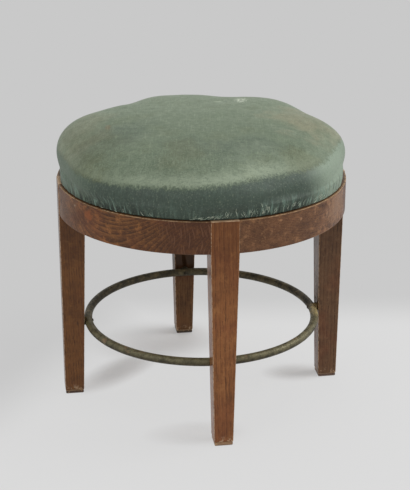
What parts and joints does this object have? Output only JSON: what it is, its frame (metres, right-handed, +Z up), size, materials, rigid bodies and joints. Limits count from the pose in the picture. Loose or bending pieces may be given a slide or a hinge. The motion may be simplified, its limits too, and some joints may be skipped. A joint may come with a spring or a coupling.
{
  "type": "revolving piano stool",
  "caption": "Round upholstered stool on four tapered square legs, with a metal foot ring and a seat that screws up and down.",
  "frame": {"origin": "on the floor, under the centre of the seat, on the axis of the seat screw", "axes": "+Z up along the seat screw; -Y towards the front, with the front leg 8.8 degrees from -Y towards +X"},
  "size_m": [0.4512, 0.4512, 0.4488],
  "materials": {
    "leg_oak": "stained and waxed oak, worn at the arrises",
    "rail_oak": "stained and waxed oak, cut across the flame",
    "frame_beech": "plain unfinished beech",
    "board_pine": "plain unfinished pine",
    "foot_pad_wood": "dark, scuffed hardwood",
    "ring_brass": "dark olive patina",
    "black_iron": "blacked casting",
    "screw_steel": "turned and greased",
    "fixing_steel": "dulled",
    "tack_steel": "blued",
    "washer_leather": "pressed",
    "stuffing_hair": "horsehair and wadding",
    "calico": "plain weave",
    "silk_cover": "worn green silk, faint ribs"
  },
  "bodies": {
    "base": {"leg_front": "leg_oak", "leg_right": "leg_oak", "leg_back": "leg_oak", "leg_left": "leg_oak", "rail_front_right": "rail_oak", "rail_back_right": "rail_oak", "rail_back_left": "rail_oak", "rail_front_left": "rail_oak", "cross_bar_lower": "frame_beech", "cross_bar_upper": "frame_beech", "screw_nut": "black_iron", "nut_screws": "fixing_steel", "foot_ring_front": "ring_brass", "foot_ring_back": "ring_brass", "foot_ring_collars": "ring_brass", "foot_ring_screws": "fixing_steel", "foot_pad_front": "foot_pad_wood", "foot_pad_right": "foot_pad_wood", "foot_pad_back": "foot_pad_wood", "foot_pad_left": "foot_pad_wood", "foot_pad_nails": "fixing_steel"},
    "washer": {"stop_washer": "washer_leather"},
    "seat": {"seat_board": "board_pine", "seat_plate": "black_iron", "plate_screws": "fixing_steel", "spindle": "screw_steel", "stop_collar": "black_iron", "collar_pin": "fixing_steel", "stuffing": "stuffing_hair", "calico_lining": "calico", "seat_cover": "silk_cover", "cover_tacks": "tack_steel"}
  },
  "joints": [
    {"name": "seat_turn", "type": "hinge", "parent": "base", "child": "washer", "pos_m": [0, 0, 0.3395], "axis": [0, 0, 1], "range_deg": [0, 3600]},
    {"name": "seat_rise", "type": "slide", "parent": "washer", "child": "seat", "axis": [0, 0, 1], "range_m": [0, 0.06]}
  ],
  "couplings": [
    {"joint": "seat_rise", "follows": "seat_turn", "m_per_rad": 0.00095492}
  ]
}
